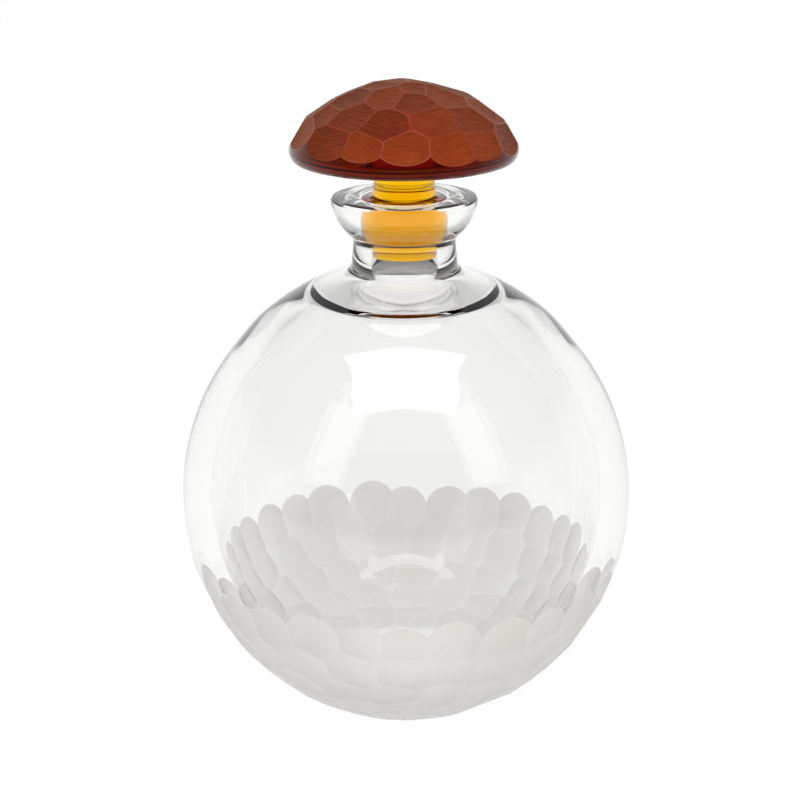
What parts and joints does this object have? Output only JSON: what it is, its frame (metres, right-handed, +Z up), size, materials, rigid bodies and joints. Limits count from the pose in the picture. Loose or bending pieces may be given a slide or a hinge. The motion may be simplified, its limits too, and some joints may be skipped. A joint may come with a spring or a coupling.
{
  "type": "stoppered perfume flacon",
  "caption": "Round clear glass perfume flacon with a matte wheel-cut foot, a flared lip and a lift-out cut amber glass stopper.",
  "frame": {"origin": "centre of the flat base, on the surface that the flacon stands on", "axes": "+Z up along the axis of the body, neck and stopper; the front is -Y"},
  "size_m": [0.0998, 0.0998, 0.1399],
  "materials": {
    "clear_glass": "polished above, matte wheel-cut facets below",
    "amber_glass": "satin cut facets on the head, polished rim, ground peg"
  },
  "bodies": {
    "bottle": {"bottle": "clear_glass"},
    "stopper": {"stopper_head": "amber_glass", "stopper_plug": "amber_glass"}
  },
  "joints": [
    {"name": "stopper_lift", "type": "slide", "parent": "bottle", "child": "stopper", "axis": [0, 0, 1], "range_m": [0, 0.03]}
  ]
}
